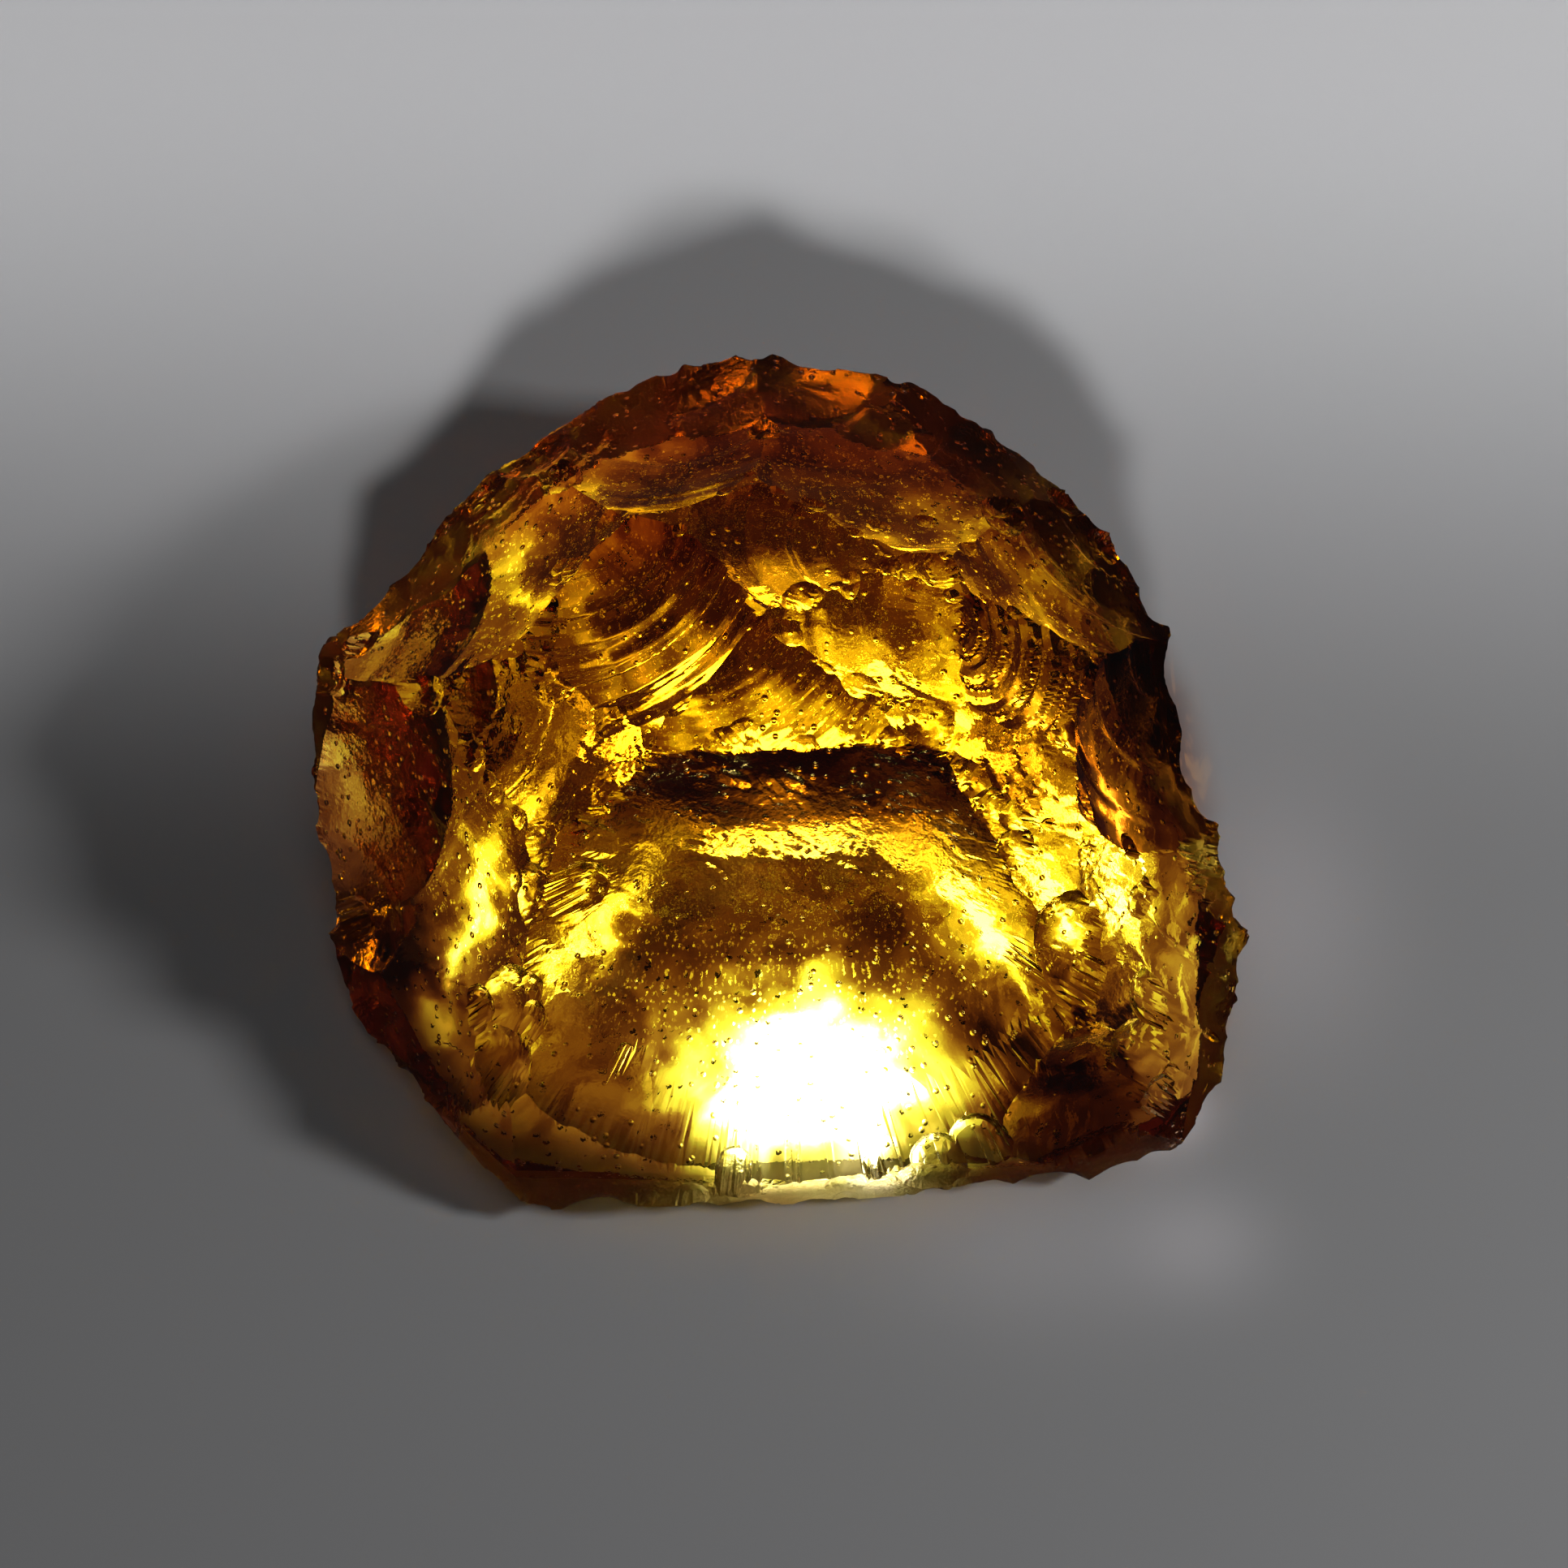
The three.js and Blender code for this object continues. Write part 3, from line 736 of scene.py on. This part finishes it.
# %% [markdown]
# ## Triangles
# Every four-sided cell has two diagonals. The one whose middle lies closer to the true
# surface is taken, so that the triangles fold along the ridges rather than across them.
# Along the shared border the fine grid has two cells for each coarse one, and fans of
# three triangles join them. Edges that bend by more than a set angle are shaded sharp.

# %% Build the stone
SHARP_ANGLE = np.radians(13)


def halved_cells(ids):
    """Each cell as two triangles, cut along the diagonal that lies closer to the stone."""
    around = ids[:-1, :-1], ids[:-1, 1:], ids[1:, 1:], ids[1:, :-1]
    a, b, c, d = (part.ravel() for part in around)

    def error(first, second):
        middles = (points[first] + points[second]) / 2 - HEART
        length = np.linalg.norm(middles, axis=1)
        true, _ = in_chunks(middles / length[:, None], chips)
        return np.abs(true - length)

    keep = error(a, c) <= error(b, d)
    first = np.where(keep, [a, b, c], [a, b, d])
    second = np.where(keep, [a, c, d], [b, c, d])
    return np.concatenate([first, second], axis=1).T


def border_ring(fine, coarse):
    """Triangles between the border of a fine grid and that of a coarse one inside it."""
    rings = []
    for quarter in range(4):
        outer, inside = np.rot90(fine, quarter)[0], np.rot90(coarse, quarter)[0]
        count = len(inside)
        at = 2 * np.arange(count) + 1
        rings.append(np.stack([inside, outer[at], outer[at + 1]], axis=1))
        rings.append(np.stack([inside, outer[at + 1], outer[at + 2]], axis=1))
        rings.append(np.stack([inside[:-1], outer[at[:-1] + 2], inside[1:]], axis=1))
        rings.append([[inside[0], outer[0], outer[1]], [inside[-1], outer[-2], outer[-1]]])
    return np.concatenate(rings)


triangles = np.concatenate([
    halved_cells(top_ids),
    halved_cells(inner_ids)[:, ::-1],
    border_ring(top_ids, inner_ids)[:, ::-1],
])
mesh = bpy.data.meshes.new("stone")
mesh.from_pydata(points * MM, [], triangles)
mesh.set_sharp_from_angle(angle=SHARP_ANGLE)
mesh.attributes.new("frost", "FLOAT", "POINT").data.foreach_set("value", frost)
mesh.attributes.new("painted_shade_share", "FLOAT", "POINT").data.foreach_set("value", painted_shade_share)
stone = bpy.data.objects.new("stone", mesh)
bpy.context.scene.collection.objects.link(stone)
print(len(triangles), "triangles")

# %% [markdown]
# ## Writing materials as maths
# A material is a tree of nodes. To keep it readable, a socket is wrapped in a small class,
# so that adding or multiplying two of them puts in the Math node and links it. All other
# nodes come from one method.

# %% Shader maths
class Wire:
    """An output socket that can be added, multiplied or raised like a number."""

    def __init__(self, tree, socket):
        self.tree, self.socket = tree, socket

    def node(self, kind, settings=None, inputs=None, output=0):
        """A new node: its settings first, then its inputs by name or place."""
        node = self.tree.nodes.new("ShaderNode" + kind)
        for name, value in (settings or {}).items():
            setattr(node, name, value)
        for key, value in (inputs or {}).items():
            if isinstance(value, Wire):
                self.tree.links.new(value.socket, node.inputs[key])
            else:
                node.inputs[key].default_value = value
        return Wire(self.tree, node.outputs[output] if node.outputs else None)

    def beside(self, output):
        """Another output of the same node."""
        return Wire(self.tree, self.socket.node.outputs[output])

    def maths(self, operation, *values, clamp=False):
        settings = {"operation": operation, "use_clamp": clamp}
        return self.node("Math", settings, dict(enumerate(values)))

    def __add__(self, other):
        return self.maths("ADD", self, other)

    def __mul__(self, other):
        return self.maths("MULTIPLY", self, other)

    def __sub__(self, other):
        return self.maths("SUBTRACT", self, other)

    def __rsub__(self, other):
        return self.maths("SUBTRACT", other, self)

    def __pow__(self, other):
        return self.maths("POWER", self, other)

    __radd__, __rmul__ = __add__, __mul__

    def between(self, low, high):
        """0 at low, 1 at high, smooth on the way."""
        settings = {"interpolation_type": "SMOOTHSTEP"}
        return self.node("MapRange", settings, {"Value": self, "From Min": low, "From Max": high})


def new_finish(name):
    """A material with an empty tree, and a wire to start from: its Object coordinates."""
    material = bpy.data.materials.new(name)
    material.use_nodes = True
    material.node_tree.nodes.clear()
    place = Wire(material.node_tree, None).node("TexCoord", output=3)
    return material, place


# %% [markdown]
# ## Topaz
# Topaz bends light by an index of 1.62. Most of the gold is no paint on the outside: light
# loses its blue, then its green, then its red, the further it goes through the crystal. An
# absorbing volume does just that, so thin edges come out pale and long ways through the
# stone come out brown and red. The surface is clear glass, made rougher where the frost
# says so, with a fine grain and a few pits as its bump. Its base colour is a painted shade
# that darkens some faces.

# %% Topaz
REFRACTION = 1.62
ABSORPTION = 400  # per metre, for a colour that is taken up whole
ABSORPTION_COLOUR = (0.9, 0.775, 0.12, 1)
NOISE_DETAIL = 2
# In the painted shade a dark face loses green and blue faster than red.
GREEN_POWER, BLUE_POWER = 1.5, 2  # a dark face loses green and blue before red
SMOOTHEST, ROUGHEST = 0.02, 0.6  # the roughness of a mirror, and what full frost adds
GRAIN_CELLS, PIT_CELLS = 3000, 2200  # per metre
GRAIN_HARSHNESS = 0.6
GRAIN_HEIGHT, FINEST_GRAIN, SMALL_PIT_DEPTH = 2.0, 0.04, 0.9  # in units of the bump's depth
GRAIN_ABOVE = 0.2 * MM, 1 * MM  # the base face has no grain
PIT_EDGE = 0.05, 0.3  # a pit's floor and rim, in cells from its middle
PIT_CHANCE = 0.6, 0.7  # of a cell's random number: no pit below, a whole one above
BUMP_DEPTH = 0.1 * MM

topaz, place = new_finish("topaz")
frosting = place.node("Attribute", {"attribute_name": "frost"}, output=2)
raised = place.node("SeparateXYZ", {}, {0: place}, output=2).between(*GRAIN_ABOVE)
grain = place.node("TexNoise", {}, {
    "Vector": place, "Scale": GRAIN_CELLS, "Detail": NOISE_DETAIL, "Roughness": GRAIN_HARSHNESS,
})
from_pit = place.node("TexVoronoi", {}, {"Vector": place, "Scale": PIT_CELLS})
chance = place.node("SeparateColor", {}, {0: from_pit.beside("Color")})
small_pits = (1 - from_pit.between(*PIT_EDGE)) * chance.between(*PIT_CHANCE)
grain = grain * (frosting * raised * GRAIN_HEIGHT + FINEST_GRAIN)
bumped = place.node("Bump", {}, {
    "Height": grain - small_pits * SMALL_PIT_DEPTH, "Distance": BUMP_DEPTH, "Strength": 1,
})
# Painted shade: the base colour darkens each face by its share from the attribute.
painted_shade_level = place.node("Attribute", {"attribute_name": "painted_shade_share"}, output=2)
painted_shade_tint = place.node("CombineColor", {}, {
    0: painted_shade_level, 1: painted_shade_level**GREEN_POWER, 2: painted_shade_level**BLUE_POWER,
})
glass = place.node("BsdfPrincipled", {}, {
    "Base Color": painted_shade_tint, "Roughness": frosting * ROUGHEST + SMOOTHEST, "IOR": REFRACTION,
    "Transmission Weight": 1.0, "Normal": bumped,
})
inside = place.node("VolumeAbsorption", {}, {"Color": ABSORPTION_COLOUR, "Density": ABSORPTION})
place.node("OutputMaterial", {}, {"Surface": glass, "Volume": inside})
mesh.materials.append(topaz)
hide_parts("topaz")
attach(stone, "root")
print("topaz:", len(topaz.node_tree.nodes), "nodes")

# %% [markdown]
# ## Light under the stone
# A clear stone gathers the light that falls through it into bright spots and lines on the
# paper it lies on, and what is seen in the stone is mostly those spots, bent by every face
# on the way. Path tracing finds such spots very slowly, so here they are laid on the floor
# as soft glows that shine by themselves. A glow of negative strength takes light away.
# Noise makes their edges wander and breaks them up, and small cells of random brightness
# give the glitter. All of it fades out at the stone's edge, where the plain paper begins.

# %% Floor
FLOOR_SIZE = 6  # in metres, so that its edge lies out of sight
FLOOR_GAP = 0.03 * MM  # the stone's base and the floor would otherwise fall on each other
floor_mesh = bpy.data.meshes.new("floor")
half = FLOOR_SIZE / 2
floor_mesh.from_pydata(
    [(x, y, -FLOOR_GAP) for x, y in ((-half, -half), (half, -half), (half, half), (-half, half))],
    [], [(0, 1, 2, 3)],
)
floor = bpy.data.objects.new("floor", floor_mesh)
bpy.context.scene.collection.objects.link(floor)
print("floor:", FLOOR_SIZE, "m wide")

# %% [markdown]
# ## The glows
# A glow is a round bell curve of light, drawn out and turned like a blurred ellipse. To
# place one, a line of sight is followed down through the stone, since a spot on the floor
# is seen somewhere else through every face. How strong it is then has to be tried out.

# %% Glows
# Each glow: its middle, its half length and half width in mm, its turn, and its strength.
GLOWS = dict(
    focus=[1.4, -11.1, 3.0, 2.6, 0, 80],
    focus_halo=[1.2, -9.2, 4.8, 3.1, 0, 2.2],
    focus_top=[1.3, -6.4, 1.5, 0.6, 10, 5],
    left_arm=[-8.4, -2.8, 4.8, 1.2, 62, 2.8],
    left_arm_core=[-8.6, -3.2, 3.0, 0.5, 62, 20],
    right_arm=[9.0, -1.4, 4.6, 1.5, -63, 4.0],
    right_arm_core=[9.0, -1.6, 3.2, 0.4, -63, 40],
    crescent=[1.0, 1.7, 3.4, 0.36, 0, 90],
    fan=[0.8, 3.6, 3.6, 1.3, 0, 4.6],
    bowl=[-5.0, 4.0, 3.2, 0.5, -40, 4.0],
    bowl_top=[-8.4, 6.8, 1.4, 2.4, 0, 1.0],
    shoulder=[-8.0, 9.5, 4.8, 2.2, 45, 1.4],
    ripples=[6.4, 3.4, 0.8, 1.4, 0, 2.0],
    east=[6.4, 6.6, 3.0, 1.4, -20, 1.2],
    dome=[3.4, 11.5, 4.0, 2.0, 0, 0.2],
    left=[-12.2, 3.0, 2.2, 3.6, 0, 1.1],
    left_front=[-9.0, -10.6, 2.6, 2.0, 0, 0.4],
    flank=[15.0, -6.6, 1.8, 3.6, 0, 0.9],
    middle=[1.0, -1.3, 5.0, 1.6, 0, 0.3],
    front_dark=[10.4, -8.6, 2.2, 2.0, 0, -0.3],
    left_dark=[-13.8, -4.8, 2.0, 2.4, 0, -0.3],
)
UNDER_GLOW, DARKEST = 0.19, 0.02
WANDER_CELLS = 420  # per metre
WANDER = (4.2 * MM, 4.2 * MM, 0)  # how far the glows' edges wander
OFF_WANDER = (-2.1 * MM, -2.1 * MM, 0)
# Two ellipses that together lie under the stone: their middles and half widths in mm.
UNDERSIDES = [[(0, 0.6), (16.5, 14.6)], [(11.5, -6.8), (6, 6.4)]]
UNDER_EDGE = 0.9, 1.1  # where the glows fade out, in half widths

paper, place = new_finish("paper")


def stretched(place, middle, size, turn=0):
    """A place measured from a middle in mm, in units of a size, along turned axes."""
    return place.node("Mapping", {"vector_type": "TEXTURE"}, {
        "Vector": place,
        "Location": (*np.multiply(middle, MM), 0),
        "Rotation": (0, 0, np.radians(turn)),
        "Scale": (*np.multiply(size, MM), 1),
    })


def glow(place, middle_x, middle_y, half_length, half_width, turn, strength):
    """Light that falls off as a bell curve from a middle, longer one way than the other."""
    local = stretched(place, (middle_x, middle_y), (half_length, half_width), turn)
    square = place.node("VectorMath", {"operation": "DOT_PRODUCT"}, {0: local, 1: local}, output=1)
    return place.maths("POWER", np.exp(-1), square) * strength


bend = place.node("TexNoise", {}, {
    "Vector": place, "Scale": WANDER_CELLS, "Detail": NOISE_DETAIL,
}, output=1)
bend = place.node("VectorMath", {"operation": "MULTIPLY_ADD"}, {0: bend, 1: WANDER, 2: OFF_WANDER})
wandering = place.node("VectorMath", {"operation": "ADD"}, {0: place, 1: bend})
light = sum((glow(wandering, *values) for values in GLOWS.values()), UNDER_GLOW)
light = light.maths("MAXIMUM", light, DARKEST)
outlines = [
    place.node("VectorMath", {"operation": "LENGTH"}, {0: stretched(place, *ellipse)}, output=1)
    for ellipse in UNDERSIDES
]
beneath = 1 - place.maths("MINIMUM", *outlines).between(*UNDER_EDGE)
print(len(GLOWS), "glows under the stone")

# %% [markdown]
# ## Clouds, threads and glitter
# Noise never looks like light on its own. Three kinds are laid over the glows: round
# clouds, long threads like those that a rippled face throws, and glitter in cells. A high
# power of a random number leaves most cells dark and only a few bright.

# %% Pattern
# Clouds, in cells per metre: what is left of a glow between them, how much more within
# them, and the limits of the noise that stand for these two.
CLOUD_CELLS, CLOUD_TWIST = 260, 1.2
CLOUD_LEAST, CLOUD_MORE, CLOUD_LIMITS = 0.3, 0.7, (0.36, 0.7)
# Threads are long streaks from front to back, towards the right of the stone.
THREAD_CELLS, THREAD_TWIST = (1100, 260, 1), 1.5
THREAD_LIMITS, THREADS_OVER = (0.54, 0.66), (7 * MM, 11 * MM)
# Glitter lies in tall narrow cells. Dots brighten a glow, stars shine anywhere.
GLITTER_CELLS, GLITTER_SPOT = (4600, 2300, 1), (0.08, 0.3)
DOTS, DOT_POWER = 4.0, 4
STARS, STAR_POWER = 1.2, 3
GLITTER_EDGE = 0.6, 0.85  # where both fade out, in half widths of the first ellipse
STEADY_FROM, STEADY_PART = 8, 0.3  # light above this strength keeps this much everywhere

clouds = place.node("TexNoise", {}, {
    "Vector": place, "Scale": CLOUD_CELLS, "Detail": NOISE_DETAIL, "Distortion": CLOUD_TWIST,
})
cells = place.node("Mapping", {}, {"Vector": place, "Scale": GLITTER_CELLS})
from_dot = place.node("TexVoronoi", {"voronoi_dimensions": "2D"}, {"Vector": cells, "Scale": 1})
chance = place.node("SeparateColor", {}, {0: from_dot.beside("Color")})
spot = 1 - from_dot.between(*GLITTER_SPOT)
within = 1 - outlines[0].between(*GLITTER_EDGE)
dots = spot * chance**DOT_POWER * within
stars = spot * chance.beside(1) ** STAR_POWER * within
drawn = place.node("Mapping", {}, {"Vector": place, "Scale": THREAD_CELLS})
threads = place.node("TexNoise", {}, {
    "Vector": drawn, "Scale": 1, "Detail": NOISE_DETAIL, "Distortion": THREAD_TWIST,
})
rightmost = place.node("SeparateXYZ", {}, {0: place}).between(*THREADS_OVER)
pattern = CLOUD_LEAST + CLOUD_MORE * clouds.between(*CLOUD_LIMITS)
pattern = pattern + threads.between(*THREAD_LIMITS) * rightmost + DOTS * dots
steady = light.maths("MAXIMUM", light - STEADY_FROM, 0.0) * STEADY_PART
light = light * pattern + steady + stars * STARS
print("pattern:", len(paper.node_tree.nodes), "nodes so far")

# %% [markdown]
# ## The paper's colours
# Under the stone the light has a colour of its own at each strength. Beside the stone the
# paper is a plain dull sheet, with the little light that the stone throws on it added.

# %% Paper
PAPER = (0.46, 0.46, 0.47, 1)
PAPER_ROUGHNESS, PAPER_SHEEN = 0.9, 0.2
# The light has come through the stone once already: green and blue are weak in it, and
# grow with its strength as it burns out to white.
GREEN_PART, GREEN_GAIN = 0.24, 0.62
BLUE_PART, BLUE_GAIN = 0.1, 0.05
RED_BACK, RED_OVER = 0.45, (6 * MM, 12 * MM)  # towards its thick back the light turns red
# Light that the stone throws on the paper beside it, written as the glows are.
SPILLS = dict(
    corner=[16.0, -17.4, 2.8, 2.2, 0, 0.06],
    front=[10.0, -17.8, 6.0, 3.0, 0, 0.04],
    side=[20.0, -4.4, 4.0, 5.4, 0, 0.06],
    front_right=[14.2, -12.2, 1.8, 1.4, 0, 0.4],
)
SPILL_COLOUR = (1, 0.92, 0.97)

sheet = place.node("BsdfPrincipled", {}, {
    "Base Color": PAPER, "Roughness": PAPER_ROUGHNESS, "Specular IOR Level": PAPER_SHEEN,
})
behind = place.node("SeparateXYZ", {}, {0: place}, output=1).between(*RED_OVER)
green = light * light.maths("ADD", light * GREEN_GAIN, GREEN_PART, clamp=True)
blue = light * light.maths("ADD", light * BLUE_GAIN, BLUE_PART, clamp=True)


def shining(*parts):
    """A shader that gives off light of these red, green and blue parts."""
    colour = place.node("CombineColor", {}, dict(enumerate(parts)))
    return place.node("Emission", {}, {"Color": colour})


focused = shining(light, green * (1 - behind * RED_BACK), blue)
spilled = sum((glow(place, *values) for values in SPILLS.values()), 0.0)
spill = shining(*(spilled * tone for tone in SPILL_COLOUR))
outside = place.node("AddShader", {}, {0: sheet, 1: spill})
both = place.node("MixShader", {}, {0: beneath, 1: outside, 2: focused})
place.node("OutputMaterial", {}, {"Surface": both})
floor_mesh.materials.append(paper)
floor.visible_glossy = False
print("paper:", len(paper.node_tree.nodes), "nodes")

# %% [markdown]
# ## Lamps
# Three soft lamps and a dim room. One from the front lights the paper behind the stone and
# casts a shadow that way, one from the right casts a long shadow to the left, and a large
# one above keeps the shadows from going black. The faces don't mirror the lamps, since
# their reflections would lie like white patches over the gold.

# %% World and lights
ROOM_COLOUR, ROOM_STRENGTH = (0.95, 0.97, 1, 1), 0.02
# Each lamp: its place and the point that it faces in mm, its width and height, its power
# in watts, and the angle of its beam in degrees.
LAMPS = dict(
    front=[(0, -110, 95), (0, 38, 0), (130, 20), 0.0125, 11],
    side=[(200, -20, 130), (0, -10, 0), (30, 30), 0.22, 180],
    above=[(0, 0, 300), (0, 0, 0), (200, 200), 0.05, 180],
)
world = bpy.data.worlds.new("studio")
bpy.context.scene.world = world
world.use_nodes = True
background = world.node_tree.nodes["Background"].inputs
background["Color"].default_value = ROOM_COLOUR
background["Strength"].default_value = ROOM_STRENGTH


def soft_light(name, place, aim, size, power, angle):
    """A soft light at a place, facing a point. The stone shows no reflection of it."""
    lamp = bpy.data.lights.new(name, "AREA")
    lamp.shape = "RECTANGLE"
    lamp.size, lamp.size_y = size[0] * MM, size[1] * MM
    lamp.energy, lamp.spread = power, np.radians(angle)
    holder = bpy.data.objects.new(name, lamp)
    spot = np.array(place) * MM
    holder.location = spot
    away = Vector(spot - np.array(aim) * MM)
    holder.rotation_euler = away.to_track_quat("Z", "Y").to_euler()
    holder.visible_glossy = holder.visible_transmission = False
    bpy.context.scene.collection.objects.link(holder)


for name, values in LAMPS.items():
    soft_light(name, *values)
print(len(LAMPS), "lamps:", ", ".join(LAMPS))
bpy.context.scene.view_settings.view_transform = "Standard"

# %% [markdown]
# ## Camera
# The camera looks down steeply from the front through a long lens, so that the stone's
# outline is little changed by perspective.

# %% Camera
TARGET = np.array([0.2, -1.1, 6.0])
ELEVATION = np.radians(70)
DISTANCE = 116
LENS, SENSOR = 70, 36
lens = bpy.data.cameras.new("camera")
lens.lens, lens.sensor_width = LENS, SENSOR
camera = bpy.data.objects.new("camera", lens)
bpy.context.scene.collection.objects.link(camera)
spot = TARGET + DISTANCE * np.array([0, -np.cos(ELEVATION), np.sin(ELEVATION)])
camera.location = spot * MM
camera.rotation_euler = (np.pi / 2 - ELEVATION, 0, 0)
bpy.context.scene.camera = camera
print("camera at", np.round(spot), "mm")
